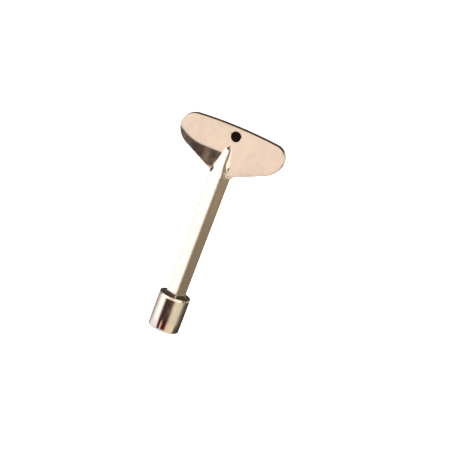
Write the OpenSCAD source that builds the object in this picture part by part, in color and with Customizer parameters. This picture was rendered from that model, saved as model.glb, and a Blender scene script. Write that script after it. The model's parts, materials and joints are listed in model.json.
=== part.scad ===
// Radiator bleed key: a cast bow with wings and a ring hole, a square shank set corner-on,
// a turned socket barrel with a square drive, and the braze fillet at the shank's foot.
// Origin at the centre of the socket mouth, +Z up the shank, bow plate in the XZ plane.

/* [Overall] */
// length from the socket mouth to the crown of the bow
key_len = 76.2; // [70:0.2:95]

/* [Bow] */
// width across the two wings
bow_w = 37.8; // [33:0.2:44]
// height from the neck joint to the crown
bow_h = 18.5; // [17:0.1:22]
// plate thickness
bow_t = 3; // [2.6:0.1:3.6]
// radius of the crown edge
crown_r = 150; // [90:5:300]
// radius of each upper corner
corner_r = 4.5; // [3.5:0.1:6]
// radius of each lower lobe
lobe_r = 7.5; // [6:0.1:8.5]
// rise of the wing's lower edge, in degrees
wing_rise = 26; // [20:1:32]
// concave radius between shank and wing
neck_r = 3; // [2:0.1:4]
// broken edge around the plate
edge_break = 0.45; // [0.2:0.05:0.7]
// length of the ridge that runs up the plate from the neck joint
ridge_len = 12; // [10:0.1:12.6]
// height of the fairing over the plate at the neck joint
fair_height = 1.5; // [1:0.1:1.9]
// length of the fairing up the plate
fair_len = 9; // [7:0.1:10]
// slope of the fairing's flanks against the plate, in degrees
fair_angle = 25; // [18:1:32]

/* [Ring hole] */
// hole diameter
ring_d = 3.5; // [2.5:0.1:4]
// distance of the hole's centre below the crown
ring_drop = 3.2; // [3:0.1:4.2]
// distance of the hole's centre to the right of the shank's axis
ring_shift = 0.8; // [0:0.1:1]
// countersink of the hole on each face
ring_sink = 0.2; // [0.1:0.05:0.4]

/* [Shank] */
// across flats at the bow
shank_top = 5.45; // [4.9:0.05:5.8]
// across flats at the foot
shank_foot = 4.95; // [4.5:0.05:5.3]
// depth taken off each long corner
corner_off = 0.16; // [0.05:0.01:0.25]
// across flats of the tang inside the bow
tang_af = 2.6; // [2:0.1:3]
// length of the tang
tang_len = 6.5; // [5:0.1:7]
// cross hole in the tang that the bow is cast through
lock_d = 1.2; // [0.8:0.1:1.4]
// distance of the cross hole above the neck joint
lock_rise = 3.6; // [2:0.1:4]
// diameter of the spigot in the barrel
spigot_d = 4.2; // [3.6:0.1:4.4]
// length of the spigot
spigot_len = 3.4; // [2.5:0.1:4]

/* [Socket barrel] */
// outside diameter
barrel_d = 11; // [10:0.1:12.6]
// length
barrel_len = 12.9; // [11.5:0.1:14]
// across flats of the square spindle that the key turns
spindle_af = 5; // [4.8:0.05:5.4]
// clearance across flats between drive and spindle
drive_clear = 0.2; // [0.1:0.05:0.4]
// depth of the square drive
drive_depth = 8.6; // [7:0.1:9]
// broken edge at the shoulder
shoulder_break = 0.4; // [0.2:0.05:0.7]
// broken edge at the foot
foot_break = 0.5; // [0.2:0.05:0.8]
// how far the countersunk mouth reaches past the drive's corners
lead_in = 0.1; // [0.05:0.05:0.3]

/* [Braze fillet] */
// reach over the shoulder, beyond the shank's corners
braze_reach = 0.85; // [0.5:0.05:1]
// reach left at half of its height
braze_waist = 0.25; // [0.1:0.05:0.4]
// rise up the shank
braze_rise = 1.4; // [0.8:0.1:2]

/* [Hidden] */
$fn = 96;
eps = 0.01;
// how far a cutter reaches past what it cuts
over = 1;
root2 = sqrt(2);
joint_z = key_len - bow_h;
shank_len = joint_z - barrel_len;
half_t = bow_t / 2;
half_w = bow_w / 2;
// corner radii of the square shank, corners on the X and Y axes
top_c = shank_top / root2;
foot_c = shank_foot / root2;
tang_c = tang_af / root2;
drive_af = spindle_af + drive_clear;
// the fillet's corners stay on the flat of the shoulder
braze_c = min(foot_c + braze_reach, barrel_d / 2 - shoulder_break);
waist_c = min(foot_c + braze_waist, braze_c);
mouth_r = drive_af / root2 + lead_in;
ring_z = key_len - ring_drop;
fair_y = half_t + fair_height;
// crown circle, corner circles inside it, lobe circles level with them
crown_z = key_len - crown_r;
corner_x = half_w - corner_r;
crown_a = asin(corner_x / (crown_r - corner_r));
corner_z = crown_z + (crown_r - corner_r) * cos(crown_a);
lobe_x = half_w - lobe_r;
touch_x = corner_x + corner_r * sin(crown_a);
touch_z = corner_z + corner_r * cos(crown_a);
// lower edge: leaves the lobe at under, meets the neck curve at turn, ends on the shank's side
under_x = lobe_x + lobe_r * sin(wing_rise);
under_z = corner_z - lobe_r * cos(wing_rise);
neck_c = top_c - corner_off;
neck_x = neck_c + neck_r;
line_z = under_z - (under_x - neck_x) * tan(wing_rise);
neck_z = line_z - neck_r / cos(wing_rise);
turn_x = neck_x - neck_r * sin(wing_rise);
turn_z = neck_z + neck_r * cos(wing_rise);
// spread of the trimmed underside beside the neck, per mm of height
trim_slope = 3.2;

// which node to draw

// lay a flat drawing in the XZ plane and give it the plate's thickness
module plate(t) {
  rotate([90, 0, 0])
    linear_extrude(height = t, center = true)
      children();
}

// disc on edge at (x, z) with both rims broken
module edge_disc(x, z, r) {
  translate([x, 0, z])
    rotate([90, 0, 0])
      rotate_extrude()
        polygon([
          [0, -half_t],
          [r - edge_break, -half_t],
          [r, -half_t + edge_break],
          [r, half_t - edge_break],
          [r - edge_break, half_t],
          [0, half_t]
        ]);
}

// outline between the discs: crown tangents, lobes, lower edges and the two neck curves
module web_outline() {
  difference() {
    polygon([
      [0, touch_z + touch_x * tan(crown_a)],
      [touch_x, touch_z],
      [corner_x, corner_z],
      [lobe_x, corner_z],
      [under_x, under_z],
      [turn_x, turn_z],
      [neck_x, neck_z],
      [neck_x, joint_z - over],
      [-neck_x, joint_z - over],
      [-neck_x, neck_z],
      [-turn_x, turn_z],
      [-under_x, under_z],
      [-lobe_x, corner_z],
      [-corner_x, corner_z],
      [-touch_x, touch_z]
    ]);
    for (s = [-1, 1]) {
      translate([s * neck_x, neck_z])
        circle(r = neck_r);
      translate([s * neck_x - neck_r, neck_z - 2 * neck_r])
        square([2 * neck_r, 2 * neck_r]);
    }
  }
}

// spool that breaks both rims of one neck curve
module neck_break() {
  flare = edge_break + over;
  rotate([90, 0, 0])
    rotate_extrude()
      polygon([
        [0, -half_t - over],
        [neck_r + flare, -half_t - over],
        [neck_r, -half_t + edge_break],
        [neck_r, half_t - edge_break],
        [neck_r + flare, half_t + over],
        [0, half_t + over]
      ]);
}

// prism that breaks both rims of one wing's lower edge, from the lobe to the neck curve
module under_break() {
  flare = edge_break + over;
  run = norm([under_x - turn_x, under_z - turn_z]);
  translate([turn_x, 0, turn_z])
    rotate([0, 90 - wing_rise, 0])
      linear_extrude(height = run)
        polygon([
          [-flare, -half_t - over],
          [0, -half_t + edge_break],
          [0, half_t - edge_break],
          [-flare, half_t + over],
          [flare, half_t + over],
          [flare, -half_t - over]
        ]);
}

module wing_web() {
  difference() {
    plate(bow_t)
      web_outline();
    for (s = [0, 1])
      mirror([s, 0, 0]) {
        under_break();
        translate([neck_x, 0, neck_z])
          neck_break();
      }
  }
}

// inverted pyramid that brings the bow down flush with the shank's faces
module neck_trim() {
  rise = bow_h + over;
  translate([0, 0, joint_z])
    cylinder(r1 = top_c, r2 = top_c + rise * trim_slope, h = rise, $fn = 4);
}

module bow_blank() {
  intersection() {
    union() {
      wing_web();
      for (s = [-1, 1]) {
        edge_disc(s * corner_x, corner_z, corner_r);
        edge_disc(s * lobe_x, corner_z, lobe_r);
      }
    }
    edge_disc(0, crown_z, crown_r);
    neck_trim();
  }
}

// square ridge of the shank carried up both faces of the plate
module ridge() {
  translate([0, 0, joint_z])
    intersection() {
      cylinder(r1 = top_c, r2 = half_t, h = ridge_len, $fn = 4);
      cylinder(r1 = neck_c, r2 = half_t, h = ridge_len);
    }
}

// half space behind one flank of the fairing: s picks the face, a the flank
module fair_side(s, a) {
  reach = 4 * bow_h;
  mirror([0, s, 0])
    translate([0, -fair_y, joint_z])
      rotate([-atan((fair_y - half_t) / fair_len), 0, 0])
        rotate([0, 0, a])
          translate([-reach / 2, 0, -reach / 2])
            cube(reach);
}

// flatter wedge under the ridge, which leads its flanks out into the plate
module fairing() {
  intersection() {
    fair_side(0, -fair_angle);
    fair_side(0, fair_angle);
    fair_side(1, -fair_angle);
    fair_side(1, fair_angle);
    plate(2 * top_c)
      web_outline();
    neck_trim();
  }
}

module tang() {
  translate([0, 0, joint_z])
    cylinder(r = tang_c, h = tang_len, $fn = 4);
}

module lock_hole() {
  translate([0, 0, joint_z + lock_rise])
    rotate([0, 90, 0])
      cylinder(d = lock_d, h = 4 * tang_c, center = true);
}

module ring_hole() {
  translate([ring_shift, 0, ring_z])
    rotate([90, 0, 0]) {
      cylinder(d = ring_d, h = 2 * bow_t, center = true);
      for (s = [-1, 1])
        translate([0, 0, s * half_t])
          cylinder(
            d1 = ring_d + (1 - s) * ring_sink * 2,
            d2 = ring_d + (1 + s) * ring_sink * 2,
            h = 2 * ring_sink,
            center = true
          );
    }
}

module bow() {
  color([0.80, 0.70, 0.58])
    difference() {
      union() {
        bow_blank();
        fairing();
        ridge();
      }
      difference() {
        tang();
        lock_hole();
      }
      ring_hole();
    }
}

module shank() {
  color([0.78, 0.69, 0.58])
    union() {
      translate([0, 0, barrel_len])
        intersection() {
          cylinder(r1 = foot_c, r2 = top_c, h = shank_len, $fn = 4);
          cylinder(r1 = foot_c - corner_off, r2 = top_c - corner_off, h = shank_len);
        }
      difference() {
        tang();
        lock_hole();
      }
      translate([0, 0, barrel_len - spigot_len])
        cylinder(d = spigot_d, h = spigot_len + eps);
    }
}

module socket_barrel() {
  color([0.72, 0.62, 0.52])
    difference() {
      rotate_extrude()
        polygon([
          [0, 0],
          [barrel_d / 2 - foot_break, 0],
          [barrel_d / 2, foot_break],
          [barrel_d / 2, barrel_len - shoulder_break],
          [barrel_d / 2 - shoulder_break, barrel_len],
          [0, barrel_len]
        ]);
      // drilled through for the spigot
      translate([0, 0, -over])
        cylinder(d = spigot_d, h = barrel_len + 2 * over);
      // square drive, flats on X and Y
      translate([0, 0, (drive_depth - over) / 2])
        cube([drive_af, drive_af, drive_depth + over], center = true);
      // 45 degree countersink, from past the drive's corners down to its flats
      cylinder(r1 = mouth_r, r2 = drive_af / 2, h = mouth_r - drive_af / 2);
    }
}

module braze_fillet() {
  rise = braze_rise / 2;
  color([0.75, 0.66, 0.53])
    difference() {
      translate([0, 0, barrel_len])
        union() {
          cylinder(r1 = braze_c, r2 = waist_c, h = rise, $fn = 4);
          translate([0, 0, rise])
            cylinder(r1 = waist_c, r2 = foot_c, h = rise, $fn = 4);
        }
      shank();
    }
}

bow();
shank();
socket_barrel();
braze_fillet();
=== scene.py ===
"""Radiator bleed key: polished nickel over a cast bow, a square shank and a turned socket barrel.

The frame gives every piece its place and most of its sizes. All lengths are in metres.
"""

import json

import bpy
import numpy as np
from mathutils import Matrix, Vector


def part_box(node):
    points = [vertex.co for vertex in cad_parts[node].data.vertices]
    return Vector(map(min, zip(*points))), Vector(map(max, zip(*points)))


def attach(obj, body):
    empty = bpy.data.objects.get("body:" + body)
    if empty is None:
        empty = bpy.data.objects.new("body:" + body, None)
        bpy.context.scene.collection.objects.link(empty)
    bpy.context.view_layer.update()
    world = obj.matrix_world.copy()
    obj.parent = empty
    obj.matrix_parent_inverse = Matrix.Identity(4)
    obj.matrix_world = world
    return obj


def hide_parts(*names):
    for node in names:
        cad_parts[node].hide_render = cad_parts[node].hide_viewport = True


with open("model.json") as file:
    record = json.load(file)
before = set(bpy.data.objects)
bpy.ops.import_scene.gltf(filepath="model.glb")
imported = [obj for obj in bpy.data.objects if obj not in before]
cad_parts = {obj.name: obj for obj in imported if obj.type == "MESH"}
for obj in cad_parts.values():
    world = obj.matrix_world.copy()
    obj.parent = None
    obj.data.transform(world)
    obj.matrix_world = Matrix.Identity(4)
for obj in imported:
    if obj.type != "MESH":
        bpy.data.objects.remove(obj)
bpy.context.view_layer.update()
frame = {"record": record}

MM = 0.001

# ---- sizes read from the frame ----------------------------------------------------------------

SHANK_LOW, SHANK_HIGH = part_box("shank")
BARREL_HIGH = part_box("socket_barrel")[1]
BRAZE_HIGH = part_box("braze_fillet")[1]
RING = next(m for m in frame["record"]["mounts"] if m["name"] == "ring_hole")

JOINT_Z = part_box("bow")[0][2]
FOOT_Z = BARREL_HIGH[2]
BARREL_R = BARREL_HIGH[0]
RING_X, RING_Z = RING["pos_m"][0], RING["pos_m"][2]
RING_R = RING["dims"]["r_mm"] * MM

# ---- the maker's own sizes ---------------------------------------------------------------------

CROWN_Z = 76.2 * MM  # the true arc's top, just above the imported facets
HALF_W = 18.9 * MM
PLATE_HALF = 1.5 * MM  # half thickness of the wings
PLATE_DRAFT = 0.03 * MM  # how much thinner each side is at the crown
CROWN_R = 150 * MM
CORNER_RS = (5.2 * MM, 4.5 * MM)  # upper corners, left and right
WING_SHIFT = 0.45 * MM  # how much longer the right wing is
LOBE_R = 7.5 * MM
LOBE_DROP = 5.2 * MM  # crown to the lobe's centre
WING_RISE = np.radians(26)
NECK_R = 3.0 * MM
TOP_C = 5.45 / np.sqrt(2) * MM  # centre to long corner, shank at the bow
FOOT_C = 4.95 / np.sqrt(2) * MM  # the same at the shank's foot
TWIST = np.radians(14.0)  # how far the bar is turned against the bow
CREST_TWIST = np.radians(6.0)  # the same where its crest ends on the plate
ARRIS_R = 0.30 * MM  # rounding of the shank's long corners
RIDGE_LEN = 12.0 * MM
RIM_R = 0.20 * MM  # how far the rim's rounding reaches into the plate
RIM_POWER = 3.4  # 2 is an ellipse, more is squarer
RING_LIP = 0.22 * MM  # rounding at the mouth of the ring hole
WORN_Z = 66.1 * MM  # height below which the left of the face is worn, out to WORN_BEND
WORN_BEND = 9 * MM
WORN_CLIMB = 0.037 / MM  # how the worn part's edge rises beyond that, per squared length
ROLLED_SLOPE = 0.027  # slope of the worn part against the rest
CREST_LOSS = 0.72  # share of the crest's height lost on its way up the plate
CREST_END = (10.0 * MM, 12.2 * MM)  # where the crest starts to dive under the plate and is gone
NECK_SPREAD = 4.3  # how fast the underside opens out beside the neck
SPIGOT_R = 2.1 * MM
TANG_C = 2.6 / np.sqrt(2) * MM
DRIVE_HALF = 2.6 * MM
DRIVE_DEPTH = 8.6 * MM
FOOT_BREAK = 0.45 * MM  # rounding of the barrel's foot
SHOULDER_BREAK = 0.2 * MM  # rounding of its shoulder
CONTACT = 0.001 * MM  # least step between two rings of points that would share a height

# ---- mesh fineness -----------------------------------------------------------------------------

JOINT_COLS = 120
SIDE_COLS = 200
FACE_ROWS = 66
RIM_ROWS = 12
FLAT_COLS = 10
ARRIS_COLS = 13
BAR_ROWS = 70
BARREL_COLS = 192
FOOT_ROWS = 9
WALL_ROWS = 12
SHOULDER_ROWS = 8

# ---- studio ------------------------------------------------------------------------------------

CAMERA_BEARING = 8.8
CAMERA_HEIGHT = 14.9
CAMERA_ROLL = 20.57
CAMERA_DISTANCE = 1.2
VIEW_WIDTH = 0.1541
AIM_RIGHT = 0.00761
AIM_UP = 0.0422
ROOM_STRENGTH = 1.0
FLOOR_GLOW = 0.9
# The room as bands, lowest first. Each has the tilt in degrees at which it takes over from the
# band below, how softly it does so, and bearings from the front, positive to the right, with
# the colour met there.
ROOM = [
    (None, None, [
        (-180, (0.35, 0.34, 0.33)), (-100, (0.9, 0.88, 0.86)), (60, (1.0, 0.97, 0.92)),
        (110, (0.5, 0.48, 0.45)), (180, (0.35, 0.34, 0.33)),
    ]),
    (-26.5, 1.5, [
        (-180, (0.05, 0.045, 0.04)), (-130, (0.42, 0.40, 0.42)), (-108, (1.0, 0.95, 1.05)),
        (-48, (1.1, 0.98, 1.1)), (-37, (0.05, 0.02, 0.03)), (-25, (0.06, 0.02, 0.02)),
        (-16, (1.0, 0.72, 0.62)), (-7, (0.12, 0.014, 0.01)), (16, (0.08, 0.012, 0.008)),
        (30, (0.95, 0.64, 0.56)), (48, (0.95, 0.80, 0.54)), (82, (0.95, 0.88, 0.64)),
        (98, (0.10, 0.08, 0.07)), (180, (0.03, 0.03, 0.03)),
    ]),
    (-18.6, 1.4, [
        (-180, (0.16, 0.15, 0.14)), (-150, (0.42, 0.40, 0.39)), (-118, (0.50, 0.46, 0.44)),
        (-98, (0.92, 0.92, 0.95)), (-72, (1.5, 1.45, 1.5)), (-57, (1.5, 1.45, 1.45)),
        (-38, (0.08, 0.036, 0.042)), (-20, (0.045, 0.020, 0.021)), (-9, (0.034, 0.019, 0.016)),
        (16, (0.04, 0.010, 0.008)), (38, (0.80, 0.72, 0.58)), (52, (0.82, 0.76, 0.60)),
        (87, (0.74, 0.72, 0.62)), (102, (0.36, 0.30, 0.22)), (120, (0.11, 0.10, 0.09)),
        (180, (0.03, 0.03, 0.03)),
    ]),
    (-15.2, 0.5, [
        (-180, (0.30, 0.30, 0.31)), (-98, (0.34, 0.35, 0.36)), (-89, (1.45, 1.5, 1.65)),
        (-33, (1.5, 1.5, 1.5)), (-25, (1.09, 0.94, 0.86)), (14, (1.06, 0.91, 0.81)),
        (24, (1.4, 1.35, 1.3)), (70, (1.3, 1.25, 1.2)), (80, (0.30, 0.235, 0.16)),
        (105, (0.41, 0.33, 0.24)), (125, (0.38, 0.32, 0.28)), (150, (0.8, 0.78, 0.76)),
        (180, (0.9, 0.88, 0.86)),
    ]),
    (8.0, 3.0, [
        (-180, (0.07, 0.055, 0.045)), (-90, (0.09, 0.07, 0.06)), (-50, (0.16, 0.13, 0.12)),
        (15, (0.07, 0.055, 0.045)), (32, (0.9, 0.84, 0.78)), (70, (0.95, 0.88, 0.80)),
        (84, (0.20, 0.16, 0.12)), (130, (0.05, 0.045, 0.035)), (180, (0.07, 0.055, 0.045)),
    ]),
    (74.0, 6.0, [(-180, (1.15, 1.1, 1.08)), (180, (1.15, 1.1, 1.08))]),
]


# ---- small array helpers -----------------------------------------------------------------------

def smoothstep(x, low, high):
    """0 below low, 1 above high, and the cubic 3t^2 - 2t^3 between."""
    t = np.clip((x - low) / (high - low), 0.0, 1.0)
    return t * t * (3.0 - 2.0 * t)


def soft_max(a, b, width):
    """The larger of two heights. Where they differ by less than twice the width, a parabola
    rounds the corner between them and lifts it by half the width at most."""
    reach = 2.0 * width
    return np.maximum(a, b) + np.maximum(reach - np.abs(a - b), 0.0) ** 2 / (4.0 * reach)


def soft_min(a, b, width):
    """The smaller of two heights, with the corner between them rounded off in the same way."""
    return -soft_max(-a, -b, width)


def arc(cx, cz, r, start, stop, count):
    """Points on a circle from one angle to another, in degrees, the last one left out."""
    a = np.radians(np.linspace(start, stop, count, endpoint=False))
    return np.stack([cx + r * np.cos(a), cz + r * np.sin(a)], axis=1)


def even_steps(points, count, gather=1.0):
    """An open line as count points along its own length, both ends kept. A gather over 1 draws
    the points towards the start."""
    step = np.hypot(*np.diff(points, axis=0).T)
    along = np.concatenate([[0.0], np.cumsum(step)])
    want = along[-1] * np.linspace(0.0, 1.0, count) ** gather
    return np.stack([np.interp(want, along, points[:, i]) for i in (0, 1)], axis=1)


def grid_faces(rows, cols, close_rows):
    """Quads of a grid whose columns wrap round, and whose rows do too when close_rows is set."""
    r = np.arange(rows if close_rows else rows - 1)
    c = np.arange(cols)
    rr, cc = np.meshgrid(r, c, indexing="ij")
    r2 = (rr + 1) % rows
    c2 = (cc + 1) % cols
    quads = np.stack([rr * cols + cc, rr * cols + c2, r2 * cols + c2, r2 * cols + cc], axis=-1)
    return quads.reshape(-1, 4)


def fan_caps(rows, cols):
    """Triangles that close both open ends of such a grid, each to a middle point of its own: the
    two points that come right after the grid's last row."""
    c = np.arange(cols)
    c2 = (c + 1) % cols
    last = (rows - 1) * cols
    return np.vstack([
        np.stack([np.full(cols, rows * cols), c2, c], axis=1),
        np.stack([np.full(cols, rows * cols + 1), last + c, last + c2], axis=1),
    ])


def make_piece(name, verts, quads, tris=None, sharp=40.0, wear=None):
    """A mesh object from arrays, smooth except across edges sharper than the given angle."""
    tris = np.zeros((0, 3), int) if tris is None else tris
    mesh = bpy.data.meshes.new(name)
    mesh.vertices.add(len(verts))
    mesh.vertices.foreach_set("co", np.asarray(verts, np.float32).ravel())
    corners = np.concatenate([quads.ravel(), tris.ravel()]).astype(np.int32)
    starts = np.concatenate([
        np.arange(len(quads)) * 4,
        len(quads) * 4 + np.arange(len(tris)) * 3,
    ]).astype(np.int32)
    mesh.loops.add(len(corners))
    mesh.loops.foreach_set("vertex_index", corners)
    mesh.polygons.add(len(starts))
    mesh.polygons.foreach_set("loop_start", starts)
    mesh.update(calc_edges=True)
    mesh.validate()
    mesh.polygons.foreach_set("use_smooth", np.ones(len(mesh.polygons), bool))
    mesh.set_sharp_from_angle(angle=np.radians(sharp))
    if wear is not None:
        layer = mesh.attributes.new("wear", "FLOAT", "POINT")
        layer.data.foreach_set("value", np.asarray(wear, np.float32).ravel())
    piece = bpy.data.objects.new(name, mesh)
    bpy.context.scene.collection.objects.link(piece)
    return piece


# ---- bow: cast wings with a ring hole and the shank's ridge ------------------------------------

def wing_outline(corner_r):
    """The right half of the bow's outline as (x, z), from the neck joint to the crown's middle:
    neck curve, lower edge, lobe, corner and crown, each arc leaving the last along its tangent."""
    corner_x = HALF_W - corner_r
    lobe_x = HALF_W - LOBE_R
    crown_z = CROWN_Z - CROWN_R
    lean = np.arcsin(corner_x / (CROWN_R - corner_r))
    corner_z = crown_z + (CROWN_R - corner_r) * np.cos(lean)
    lobe_z = CROWN_Z - LOBE_DROP
    rise = np.degrees(WING_RISE)
    neck_x = neck_half() + NECK_R
    under_x = lobe_x + LOBE_R * np.sin(WING_RISE)
    under_z = lobe_z - LOBE_R * np.cos(WING_RISE)
    line_z = under_z - (under_x - neck_x) * np.tan(WING_RISE)
    neck_z = line_z - NECK_R / np.cos(WING_RISE)
    start = 180 - np.degrees(np.arcsin((JOINT_Z - neck_z) / NECK_R))
    neck = arc(neck_x, neck_z, NECK_R, start, 90 + rise, 200)
    lobe_stop = min(0.0, np.degrees(np.arcsin((corner_z - lobe_z) / LOBE_R)))
    lobe = arc(lobe_x, lobe_z, LOBE_R, rise - 90, lobe_stop, 300)
    corner = arc(corner_x, corner_z, corner_r, 0, 90 - np.degrees(lean), 300)
    crown = arc(0.0, crown_z, CROWN_R, 90 - np.degrees(lean), 90, 200)
    half = np.vstack([neck, lobe, corner, crown, [[0.0, CROWN_Z]]])
    # closer together on the neck than on the wings
    return even_steps(half, SIDE_COLS, 1.7)


def bow_outline():
    """The whole outline, from the left end of the neck joint round by the right wing. The wings
    stand a little to the right of the shank, and the left upper corner is the rounder one."""
    right = wing_outline(CORNER_RS[1])
    left = wing_outline(CORNER_RS[0]) * [-1, 1]
    joint = np.linspace(left[0, 0], right[0, 0], JOINT_COLS + 1)[:-1]
    joint = np.stack([joint, np.full(JOINT_COLS, JOINT_Z)], axis=1)
    outline = np.vstack([joint, right, left[-2:0:-1]])
    outline[:, 0] += WING_SHIFT * smoothstep(outline[:, 0], 4 * MM, 12 * MM)
    return outline


def neck_half():
    """Half the width across the turned square where it enters the bow."""
    inner = TOP_C - ARRIS_R * np.sqrt(2)
    return inner * np.cos(TWIST) + ARRIS_R


def turned_square(x, top, turn, round_over):
    """Front height of a square turned from corner-on, at x to the right of its middle: two
    flanks that meet in a crest of height top * cos(turn), softened by round_over."""
    crest_x, crest = top * np.sin(turn), top * np.cos(turn)
    left = crest + (x - crest_x) * np.tan(np.pi / 4 - turn)
    right = crest - (x - crest_x) * np.tan(np.pi / 4 + turn)
    return soft_min(left, right, round_over)


def worn_plate(x, z):
    """Height of the plate's face: drafted thinner towards the crown, and on the left falling
    away at ROLLED_SLOPE below a line that is level near the middle and climbs as a parabola."""
    plate = PLATE_HALF - PLATE_DRAFT * smoothstep(z, JOINT_Z, CROWN_Z)
    edge_z = WORN_Z + WORN_CLIMB * np.maximum(-x - WORN_BEND, 0.0) ** 2
    rolled = soft_max(edge_z - z, 0.0, 0.25 * MM) * ROLLED_SLOPE
    return plate - rolled * smoothstep(-x, -0.5 * MM, 1.0 * MM)


def front_height(x, z):
    """Height of the front face over the middle plane: the larger of the plate and the bar's
    crest. The crest is a turned square that sinks evenly with the distance up from the joint,
    turns from TWIST to CREST_TWIST, and dives under the plate below the hole. A hollow on each
    side of it is the width of the rounding between the two. By the neck the plate is no higher
    than the crest's own flank, or a floor, plus a slope times the distance up, so that the bow
    grows out of the bar's section."""
    up = np.maximum(z - JOINT_Z, 0.0)
    run = np.minimum(up / RIDGE_LEN, 1.0)
    end = 1 - smoothstep(up, *CREST_END)
    proud = (TOP_C - PLATE_HALF) * (1 - CREST_LOSS * run) * end - 0.35 * MM * (1 - end)
    top = PLATE_HALF + proud
    turn = TWIST + (CREST_TWIST - TWIST) * smoothstep(up, 1.0 * MM, 5.0 * MM)
    ridge = turned_square(x, top, turn, 0.25 * MM)
    side = smoothstep(x - top * np.sin(turn), -0.2 * MM, 0.2 * MM)  # 0 left of the crest, 1 right

    floor = (0.82 - 0.47 * side - 1.35 * (1 - smoothstep(up, 0.0, 0.25 * MM))) * MM
    root = soft_max(ridge, floor, 0.15 * MM) + (0.28 + 0.74 * side) * up
    plate = soft_min(worn_plate(x, z), root, 0.12 * MM)

    left = 0.30 * MM + 0.25 * MM * (1 - smoothstep(up, 1.0 * MM, 9.0 * MM))
    right = 0.18 * MM + 0.62 * MM * (1 - smoothstep(up, 3.5 * MM, 9.0 * MM))
    hollow = left * (1 - side) * smoothstep(up, 0.0, 4.0 * MM)
    hollow = hollow + right * side * smoothstep(up, 0.6 * MM, 6.0 * MM)
    return soft_max(plate, ridge, hollow + 0.01 * MM)


def bow_height(x, z):
    """Half thickness of the bow at (x, z) and the height of its middle there. The rear face is
    the front face turned round the shank's axis, and the underside draws the body down to the
    bar's own section at the neck."""
    front, rear = front_height(x, z), front_height(-x, z)
    half, middle = 0.5 * (front + rear), 0.5 * (rear - front)
    up = np.maximum(z - JOINT_Z, 0.0)
    trim = 1.35 * (neck_half() + 0.1 * MM - np.abs(x)) + NECK_SPREAD * up
    blend = 0.25 * MM * smoothstep(up, 0.0, 1.2 * MM) + 0.004 * MM
    return np.maximum(soft_min(half, trim, blend), 0.0), middle


def bow_casting():
    """A closed ring of quads. Columns run round the outline on rays from the ring hole. Rows run
    from the middle of the hole's wall over the front face, round the rim as a squared ellipse,
    back over the rear face and into the hole again."""
    outline = bow_outline()
    centre = np.array([RING_X, RING_Z])
    ray = outline - centre
    length = np.hypot(*ray.T)
    ray = ray / length[:, None]
    ahead = np.roll(outline, -1, axis=0) - np.roll(outline, 1, axis=0)
    normal = np.stack([ahead[:, 1], -ahead[:, 0]], axis=1)
    normal = normal / np.hypot(*normal.T)[:, None]
    lean = np.clip((ray * normal).sum(axis=1), 0.35, 1.0)
    rim = RIM_R * smoothstep(outline[:, 1], JOINT_Z + 0.1 * MM, JOINT_Z + 4 * MM) / lean
    rim = np.minimum(rim + 0.004 * MM, 0.3 * length)

    bend = np.radians(np.linspace(0, 90, 6))
    wall = np.linspace(0.0, 1.0, 4)[:-1]
    face = np.linspace(0.0, 1.0, FACE_ROWS)[1:-1]
    face = 1 - (1 - face) ** 1.3
    turn = np.radians(np.linspace(90, 0, RIM_ROWS))

    inner = RING_R + RING_LIP
    reach = np.vstack([
        np.full((len(wall), len(length)), RING_R),
        (RING_R + RING_LIP * (1 - np.cos(bend)))[:, None] * np.ones_like(length),
        inner + (length - rim - inner) * face[:, None],
        length - rim * (1 - np.cos(turn) ** (2 / RIM_POWER))[:, None],
    ])
    share = np.concatenate([wall, np.ones(len(bend) + len(face)), np.sin(turn) ** (2 / RIM_POWER)])
    drop = RING_LIP * np.concatenate([
        np.ones(len(wall)), 1 - np.sin(bend), np.zeros(len(face) + RIM_ROWS),
    ])
    x = RING_X + ray[:, 0] * reach
    z = RING_Z + ray[:, 1] * reach
    half, middle = bow_height(x, z)
    y = (half - drop[:, None]) * share[:, None]
    front = np.stack([x, middle - y, z], axis=-1)
    rear = np.stack([x, middle + y, z], axis=-1)[-2:0:-1]
    rows = np.concatenate([front, rear])
    wear_rim = np.exp(-np.maximum(length - reach, 0) / (0.5 * MM))
    wear_rim *= smoothstep(z, JOINT_Z + 1 * MM, JOINT_Z + 4 * MM)
    wear_ridge = np.exp(-(x / (0.3 * MM)) ** 2) * (z < JOINT_Z + RIDGE_LEN * 0.92)
    wear_hole = np.exp(-np.maximum(reach - RING_R, 0) / (0.4 * MM))
    wear = np.maximum.reduce([wear_rim, wear_ridge, wear_hole])
    wear = np.concatenate([wear, wear[-2:0:-1]])
    quads = grid_faces(len(rows), len(outline), True)[:, ::-1]
    return make_piece("bow_casting", rows.reshape(-1, 3), quads, wear=wear)


def hole_shade_disc():
    """Painted shade in the ring hole: a near-black thin disc that fills its middle, dished on
    both faces, its rim against the hole's wall."""
    spin = np.linspace(0, 2 * np.pi, 72, endpoint=False)
    share = np.array([1.0, 0.96, 0.85, 0.65, 0.4, 0.15])
    thin = 0.28 * MM
    dish = thin + 0.25 * MM * share ** 4
    reach = (RING_R - 0.02 * MM) * share
    front = np.stack([
        RING_X + reach[:, None] * np.cos(spin),
        -(dish[:, None] + 0.05 * MM * np.sin(3 * spin + 1) * share[:, None]),
        RING_Z + reach[:, None] * np.sin(spin),
    ], axis=-1)
    rear = front[::-1] * [1, -1, 1]
    rows = np.concatenate([front[::-1], rear[::-1]])
    quads = grid_faces(len(rows), len(spin), False)[:, ::-1]
    tris = fan_caps(len(rows), len(spin))[:, ::-1]
    middles = [[RING_X, -thin, RING_Z], [RING_X, thin, RING_Z]]
    verts = np.vstack([rows.reshape(-1, 3), middles])
    return make_piece("hole_shade_disc", verts, quads, tris, sharp=60.0)


# ---- shank: square bar set corner-on, with its tang and spigot ---------------------------------

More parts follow.
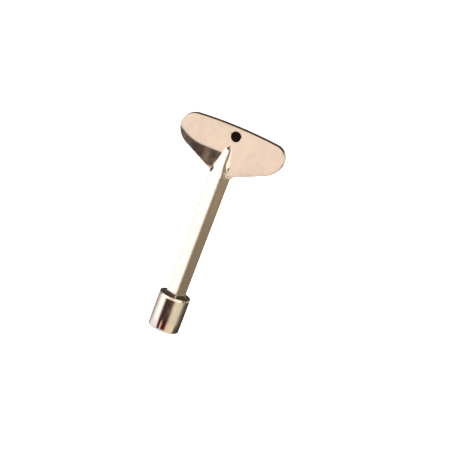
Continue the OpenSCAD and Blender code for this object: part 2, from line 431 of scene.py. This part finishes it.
def square_ring(centre, arris, turn=TWIST):
    """Points (x, y) of a square with rounded corners, from the corner that lies a turn past +X
    round towards +Y: an arc of radius arris at each corner and straight flats between."""
    flat = np.linspace(0.0, 1.0, FLAT_COLS + 2)[1:-1]
    bend = np.radians(np.linspace(-45, 45, ARRIS_COLS))
    mid = centre - arris * np.sqrt(2)
    arc_x = mid + arris * np.cos(bend)
    arc_y = arris * np.sin(bend)
    start = np.array([arc_x[-1], arc_y[-1]])
    stop = np.array([arc_y[-1], arc_x[-1]])
    line = start + (stop - start) * flat[:, None]
    quarter = np.vstack([np.stack([arc_x, arc_y], axis=1), line])
    ring = []
    for k in range(4):
        c, s = np.cos(k * np.pi / 2 + turn), np.sin(k * np.pi / 2 + turn)
        ring.append(quarter @ np.array([[c, s], [-s, c]]))
    return np.vstack(ring)


def capped_stack(name, rings, heights, wear):
    """Rings of points, one above the other, closed at both ends by a fan to the middle."""
    rows = np.array([
        np.column_stack([r, np.full(len(r), h)]) for r, h in zip(rings, heights)
    ])
    quads = grid_faces(len(rows), rows.shape[1], False)
    tris = fan_caps(len(rows), rows.shape[1])
    verts = np.vstack([rows.reshape(-1, 3), [[0, 0, heights[0]], [0, 0, heights[-1]]]])
    wear = np.concatenate([wear.ravel(), [0.0, 0.0]])
    return make_piece(name, verts, quads, tris, 35.0, wear)


def shank_bar():
    """Spigot, drafted square bar and tang as one stack of rings. The bar's size runs straight
    from foot to bow, and its faces keep the slight waves that hand polishing leaves."""
    bar_z = np.linspace(FOOT_Z, JOINT_Z, BAR_ROWS)
    share = (bar_z - FOOT_Z) / (JOINT_Z - FOOT_Z)
    sizes = FOOT_C + (TOP_C - FOOT_C) * share
    wave = 0.012 * MM * np.sin(share * 9.0 + 0.7) * np.sin(np.pi * share)
    bar = [square_ring(c + w, ARRIS_R) for c, w in zip(sizes, wave)]
    spin = np.arctan2(bar[0][:, 1], bar[0][:, 0])
    circle = SPIGOT_R * np.stack([np.cos(spin), np.sin(spin)], axis=1)
    tang = square_ring(TANG_C, 0.1 * MM, 0.0)
    rings = [circle * 0.85, circle, circle] + bar + [tang, tang]
    heights = np.concatenate([
        [SHANK_LOW[2], SHANK_LOW[2] + 0.3 * MM, FOOT_Z - CONTACT],
        bar_z,
        [JOINT_Z + CONTACT, SHANK_HIGH[2]],
    ])
    fade = np.exp(-9 * np.linspace(0, 1, FLAT_COLS))
    quarter = np.concatenate([np.ones(ARRIS_COLS), np.maximum(fade, fade[::-1])])
    wear = np.zeros((len(rings), 4 * len(quarter)))
    wear[3:-2] = np.tile(quarter, 4)
    return capped_stack("shank_bar", rings, heights, wear)


# ---- socket barrel and the braze at its shoulder -----------------------------------------------

def polar_square(spin, half, corner):
    """Distance from the middle to the wall of a flats-on square in the direction spin, its
    corners eased by a high power mean of the two sides."""
    c, s = np.abs(np.cos(spin)), np.abs(np.sin(spin))
    power = half / corner
    return half / (c ** power + s ** power) ** (1 / power)


def round_corner(cx, cz, r, start, stop, count):
    """(radius, height) points along a rounded corner of a turned profile, in degrees."""
    a = np.radians(np.linspace(start, stop, count))
    return np.stack([cx + r * np.cos(a), cz + r * np.sin(a)], axis=1)


def turned_barrel():
    """The barrel as one closed ring of quads: up the outside, over the shoulder, down the
    spigot's bore, down the square drive and out over the countersunk mouth."""
    spin = np.linspace(0, 2 * np.pi, BARREL_COLS, endpoint=False)
    foot, top = FOOT_BREAK, SHOULDER_BREAK
    wall = np.linspace(foot, FOOT_Z - top, WALL_ROWS + 2)[1:-1]
    outside = np.vstack([
        round_corner(BARREL_R - foot, foot, foot, -90, 0, FOOT_ROWS),
        np.stack([np.full(WALL_ROWS, BARREL_R), wall], axis=1),
        round_corner(BARREL_R - top, FOOT_Z - top, top, 0, 90, SHOULDER_ROWS),
        [[BARREL_R * 0.8, FOOT_Z], [SPIGOT_R + 0.4 * MM, FOOT_Z], [SPIGOT_R, FOOT_Z]],
        [[SPIGOT_R, DRIVE_DEPTH + 0.3 * MM], [SPIGOT_R, DRIVE_DEPTH]],
    ])
    # the foot is drawn in a little where it met the buffing wheel
    shoulder = FOOT_ROWS + WALL_ROWS
    buffed = np.clip(1 - outside[:shoulder, 1] / (5 * MM), 0, 1) ** 2
    outside[:shoulder, 0] -= 0.15 * MM * buffed
    turned = outside[:, 0][:, None] * np.ones_like(spin)
    drive = polar_square(spin, DRIVE_HALF, 0.16 * MM)
    mouth_r = DRIVE_HALF * np.sqrt(2) + 0.1 * MM
    depths = np.concatenate([
        [DRIVE_DEPTH - CONTACT],
        np.linspace(DRIVE_DEPTH - 0.2 * MM, 1.4 * MM, 8),
        np.linspace(mouth_r - DRIVE_HALF, 0.0, 14),
    ])
    inside = np.maximum(drive[None, :], mouth_r - depths[:, None])
    face = np.array([mouth_r + 0.1 * MM, BARREL_R - foot - 0.1 * MM])[:, None] * np.ones_like(spin)
    radius = np.vstack([turned, inside, face])
    height = np.concatenate([outside[:, 1], depths, [0.0, 0.0]])
    x = radius * np.cos(spin)
    y = radius * np.sin(spin)
    z = height[:, None] * np.ones_like(spin)
    verts = np.stack([x, y, z], axis=-1)
    # rubbed at the foot and the shoulder, and a little less round the mouth
    wear = np.zeros_like(radius)
    wear[:FOOT_ROWS] = 1.0
    wear[shoulder:shoulder + SHOULDER_ROWS] = 1.0
    wear[len(outside) + 9:] = 0.7
    quads = grid_faces(len(verts), BARREL_COLS, True)
    return make_piece("turned_barrel", verts.reshape(-1, 3), quads, sharp=38.0, wear=wear)


def braze_collar():
    """A hollow fillet of filler round the shank's foot: towards the shoulder the square ring
    grows with a power of the share of the way still left to climb, and its edge wanders a little."""
    levels = np.linspace(0.0, 1.0, 14)
    rise = BRAZE_HIGH[2] - FOOT_Z
    reach = BRAZE_HIGH[0] - FOOT_C
    outer, heights = [], []
    for w in levels:
        size = FOOT_C + reach * (1 - w) ** 2.8
        ring = square_ring(size, ARRIS_R + 0.5 * MM * (1 - w))
        spin = np.arctan2(ring[:, 1], ring[:, 0])
        wander = 1 - 0.02 * (1 - w) * (1 + np.sin(3 * spin + 0.6) * np.sin(7 * spin))
        outer.append(ring * wander[:, None])
        heights.append(FOOT_Z + rise * w)
    core = square_ring(FOOT_C - 0.02 * MM, ARRIS_R)
    rings = np.array(outer + [core, core])
    heights = np.array(heights + [FOOT_Z + rise, FOOT_Z])
    verts = np.concatenate([
        rings,
        heights[:, None, None] * np.ones_like(rings[..., :1]),
    ], axis=-1)
    quads = grid_faces(len(verts), rings.shape[1], True)
    return make_piece("braze_collar", verts.reshape(-1, 3), quads, sharp=50.0)


# ---- finishes ----------------------------------------------------------------------------------

class Graph:
    """Short calls for building one node tree."""

    def __init__(self, tree):
        self.tree = tree
        tree.nodes.clear()

    def add(self, kind, **settings):
        """A node with its settings. Values for its sockets go through put()."""
        node = self.tree.nodes.new(kind)
        for key, value in settings.items():
            setattr(node, key, value)
        return node

    def link(self, out, into):
        self.tree.links.new(out, into)

    def put(self, socket, value):
        """A link when value is a socket, and a plain number or colour otherwise."""
        if isinstance(value, bpy.types.NodeSocket):
            self.link(value, socket)
        else:
            socket.default_value = value

    def math(self, operation, a, b=0.0):
        """One sum or product of plain numbers or sockets."""
        node = self.add("ShaderNodeMath", operation=operation)
        self.put(node.inputs[0], a)
        self.put(node.inputs[1], b)
        return node.outputs[0]

    def ramp(self, factor, stops, smooth="EASE"):
        """A colour ramp. stops are (place, value or colour)."""
        node = self.add("ShaderNodeValToRGB")
        node.color_ramp.interpolation = smooth
        points = node.color_ramp.elements
        while len(points) < len(stops):
            points.new(0.5)
        for point, (place, value) in zip(points, stops):
            point.position = place
            colour = value if hasattr(value, "__len__") else (value, value, value)
            point.color = (*colour, 1.0)
        self.put(node.inputs[0], factor)
        return node.outputs[0]

    def mix(self, factor, a, b):
        """Colour a where factor is 0, colour b where it is 1."""
        node = self.add("ShaderNodeMix", data_type="RGBA")
        self.put(node.inputs[0], factor)
        self.put(node.inputs[6], a if isinstance(a, bpy.types.NodeSocket) else (*a, 1.0))
        self.put(node.inputs[7], b if isinstance(b, bpy.types.NodeSocket) else (*b, 1.0))
        return node.outputs[2]

    def noise(self, coords, scale, detail, rough, stretch=None):
        """Cloudy noise from 0 to 1, drawn out along the axes whose stretch is small."""
        if stretch is not None:
            turn = self.add("ShaderNodeMapping")
            turn.inputs["Scale"].default_value = stretch
            self.link(coords, turn.inputs[0])
            coords = turn.outputs[0]
        node = self.add("ShaderNodeTexNoise")
        node.inputs["Scale"].default_value = scale
        node.inputs["Detail"].default_value = detail
        node.inputs["Roughness"].default_value = rough
        self.link(coords, node.inputs["Vector"])
        return node.outputs["Fac"]


def polished_nickel(name, tint, worn, rough, grain=None):
    """Polished nickel plate: a clear mirror with faint clouding from handling, hairline scratches,
    a slight orange-peel, and a warmer, duller metal where the arrises have rubbed."""
    material = bpy.data.materials.new(name)
    material.use_nodes = True
    g = Graph(material.node_tree)
    out = g.add("ShaderNodeOutputMaterial")
    metal = g.add("ShaderNodeBsdfPrincipled")
    g.link(metal.outputs[0], out.inputs[0])
    metal.inputs["Metallic"].default_value = 1.0
    where = g.add("ShaderNodeTexCoord").outputs["Object"]
    rubbed = g.add("ShaderNodeAttribute", attribute_name="wear").outputs["Fac"]

    patches = g.noise(where, 900.0, 4.0, 0.6)
    rub = g.math("MULTIPLY", rubbed, g.ramp(patches, [(0.38, 0.0), (0.62, 1.0)]))
    cloud = g.noise(where, 160.0, 3.0, 0.55)
    colour = g.mix(g.ramp(cloud, [(0.35, 0.0), (0.75, 1.0)]), tint, [c * 0.93 for c in tint])
    colour = g.mix(g.math("MULTIPLY", rub, 0.55), colour, worn)
    g.link(colour, metal.inputs["Base Color"])

    smear = g.ramp(g.noise(where, 220.0, 5.0, 0.65, (1.0, 1.0, 0.45)), [(0.42, 0.0), (0.72, 1.0)])
    roughness = g.math("ADD", rough, g.math("MULTIPLY", smear, 0.05))
    roughness = g.math("ADD", roughness, g.math("MULTIPLY", rub, 0.10))
    g.link(roughness, metal.inputs["Roughness"])

    fine = g.noise(where, 2600.0, 3.0, 0.6)
    lines = g.noise(where, 700.0, 3.0, 0.7, grain or (9.0, 9.0, 0.5))
    height = g.math("ADD", g.math("MULTIPLY", fine, 0.35), g.math("MULTIPLY", lines, 0.5))
    bump = g.add("ShaderNodeBump")
    bump.inputs["Strength"].default_value = 0.035
    bump.inputs["Distance"].default_value = 0.00006
    g.link(height, bump.inputs["Height"])
    g.link(bump.outputs[0], metal.inputs["Normal"])
    return material


def painted_hole_shade():
    """Painted shade for the ring hole: near-black, a little browner and rougher in patches."""
    material = bpy.data.materials.new("painted_hole_shade")
    material.use_nodes = True
    g = Graph(material.node_tree)
    out = g.add("ShaderNodeOutputMaterial")
    dark_fill = g.add("ShaderNodeBsdfPrincipled")
    g.link(dark_fill.outputs[0], out.inputs[0])
    where = g.add("ShaderNodeTexCoord").outputs["Object"]
    mottle = g.noise(where, 2400.0, 4.0, 0.7)
    # painted shade: near-black, browner in the mottled patches
    colour = g.mix(g.ramp(mottle, [(0.35, 0.0), (0.7, 1.0)]), (0.006, 0.003, 0.002), (0.022, 0.012, 0.007))
    g.link(colour, dark_fill.inputs["Base Color"])
    g.link(g.math("ADD", 0.75, g.math("MULTIPLY", mottle, 0.2)), dark_fill.inputs["Roughness"])
    dark_fill.inputs["Specular IOR Level"].default_value = 0.15
    bump = g.add("ShaderNodeBump")
    bump.inputs["Strength"].default_value = 0.5
    bump.inputs["Distance"].default_value = 0.00008
    g.link(mottle, bump.inputs["Height"])
    g.link(bump.outputs[0], dark_fill.inputs["Normal"])
    return material


def finish_with(piece, material):
    """Gives the whole piece one finish."""
    piece.data.materials.clear()
    piece.data.materials.append(material)


# ---- studio: surroundings that polished metal mirrors, floor and camera ------------------------

def studio_surroundings():
    """Soft walls round the bench as a colour for each direction: a ramp round the horizon for
    each band of the room, one taking over from the next with height."""
    world = bpy.data.worlds.new("studio")
    bpy.context.scene.world = world
    world.use_nodes = True
    g = Graph(world.node_tree)
    out = g.add("ShaderNodeOutputWorld")
    way = g.add("ShaderNodeTexCoord").outputs["Generated"]
    parts = g.add("ShaderNodeSeparateXYZ")
    g.link(way, parts.inputs[0])
    front = g.math("MULTIPLY", parts.outputs[1], -1.0)
    turn = g.math("ARCTAN2", parts.outputs[0], front)
    around = g.math("ADD", g.math("DIVIDE", turn, 2 * np.pi), 0.5)
    tilt = g.math("MULTIPLY", g.math("ARCSINE", parts.outputs[2]), 180 / np.pi)
    room = None
    for start, soft, walls in ROOM:
        band = g.ramp(around, [(d / 360.0 + 0.5, c) for d, c in walls], "LINEAR")
        if room is None:
            room = band
            continue
        share = g.add("ShaderNodeMapRange", interpolation_type="SMOOTHSTEP")
        g.link(tilt, share.inputs[0])
        share.inputs[1].default_value = start - soft
        share.inputs[2].default_value = start + soft
        room = g.mix(share.outputs[0], room, band)

    seen = g.add("ShaderNodeLightPath").outputs["Is Camera Ray"]
    lit = g.add("ShaderNodeBackground")
    g.link(room, lit.inputs[0])
    lit.inputs[1].default_value = ROOM_STRENGTH
    plain = g.add("ShaderNodeBackground")
    plain.inputs[0].default_value = (1, 1, 1, 1)
    plain.inputs[1].default_value = 1.0
    pick = g.add("ShaderNodeMixShader")
    g.link(seen, pick.inputs[0])
    g.link(lit.outputs[0], pick.inputs[1])
    g.link(plain.outputs[0], pick.inputs[2])
    g.link(pick.outputs[0], out.inputs[0])


def pale_floor():
    """A wide pale disc under the key. It takes a soft shadow and isn't mirrored in the metal."""
    spin = np.linspace(0, 2 * np.pi, 96, endpoint=False)
    radius, clear = 3.0, 0.02 * MM
    rim = np.stack([radius * np.cos(spin), radius * np.sin(spin), np.full(len(spin), -clear)], axis=1)
    mesh = bpy.data.meshes.new("floor")
    mesh.from_pydata(rim.tolist(), [], [list(range(len(spin)))])
    floor = bpy.data.objects.new("floor", mesh)
    bpy.context.scene.collection.objects.link(floor)
    material = bpy.data.materials.new("pale_floor")
    material.use_nodes = True
    shade = material.node_tree.nodes["Principled BSDF"]
    shade.inputs["Base Color"].default_value = (0.85, 0.85, 0.85, 1)
    shade.inputs["Roughness"].default_value = 0.9
    shade.inputs["Emission Color"].default_value = (1, 1, 1, 1)
    shade.inputs["Emission Strength"].default_value = FLOOR_GLOW
    finish_with(floor, material)
    floor.visible_glossy = False
    floor.visible_diffuse = False


def soft_light(name, bearing, height, distance, size, power):
    """A square area light aimed at the key, kept out of the camera's and the metal's sight."""
    light = bpy.data.lights.new(name, "AREA")
    light.size = size
    light.energy = power
    lamp = bpy.data.objects.new(name, light)
    a, e = np.radians(bearing), np.radians(height)
    away = Vector((np.sin(a) * np.cos(e), -np.cos(a) * np.cos(e), np.sin(e)))
    lamp.location = away * distance + Vector((0, 0, CROWN_Z / 2))
    lamp.rotation_euler = away.to_track_quat("Z", "Y").to_euler()
    lamp.visible_camera = False
    lamp.visible_glossy = False
    bpy.context.scene.collection.objects.link(lamp)


def camera():
    """A long lens, a little to the right of the bow's front and above it, rolled so that the key
    leans to the right."""
    a, e, roll = np.radians([CAMERA_BEARING, CAMERA_HEIGHT, CAMERA_ROLL])
    away = Vector((np.sin(a) * np.cos(e), -np.cos(a) * np.cos(e), np.sin(e)))
    right = Vector((np.cos(a), np.sin(a), 0.0))
    up = away.cross(right)
    aim = right * AIM_RIGHT + Vector((0, 0, AIM_UP))
    x = right * np.cos(roll) + up * np.sin(roll)
    y = up * np.cos(roll) - right * np.sin(roll)
    lens = bpy.data.cameras.new("camera")
    lens.sensor_width = 36.0
    lens.lens = 36.0 * CAMERA_DISTANCE / VIEW_WIDTH
    lens.clip_start = 0.01
    view = bpy.data.objects.new("camera", lens)
    turn = Matrix((x, y, away)).transposed().to_4x4()
    view.matrix_world = Matrix.Translation(aim + away * CAMERA_DISTANCE) @ turn
    bpy.context.scene.collection.objects.link(view)
    bpy.context.scene.camera = view


# ---- the key -----------------------------------------------------------------------------------

bpy.context.scene.view_settings.view_transform = "Standard"
camera()
studio_surroundings()
pale_floor()
soft_light("ceiling_panel", -40, 60, 0.6, 0.5, 4.0)

bow = bow_casting()
shank = shank_bar()
barrel = turned_barrel()
braze = braze_collar()
# a near-black disc of painted shade in the ring hole
shade_disc = hole_shade_disc()

NICKEL = (0.86, 0.77, 0.66)
FILLER = (0.84, 0.76, 0.62)
WORN = (0.74, 0.60, 0.43)
finish_with(bow, polished_nickel("bow_nickel", NICKEL, WORN, 0.07, (1.2, 1.2, 6.0)))
finish_with(shank, polished_nickel("shank_nickel", NICKEL, WORN, 0.09))
finish_with(barrel, polished_nickel("barrel_nickel", NICKEL, WORN, 0.05, (0.6, 0.6, 9.0)))
finish_with(braze, polished_nickel("braze_filler", FILLER, WORN, 0.16))
# the hole's disc takes the near-black painted shade
finish_with(shade_disc, painted_hole_shade())

for piece, node in ((bow, "bow"), (shank, "shank"), (barrel, "socket_barrel"), (braze, "braze_fillet")):
    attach(piece, "root")
    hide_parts(node)
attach(shade_disc, "root")
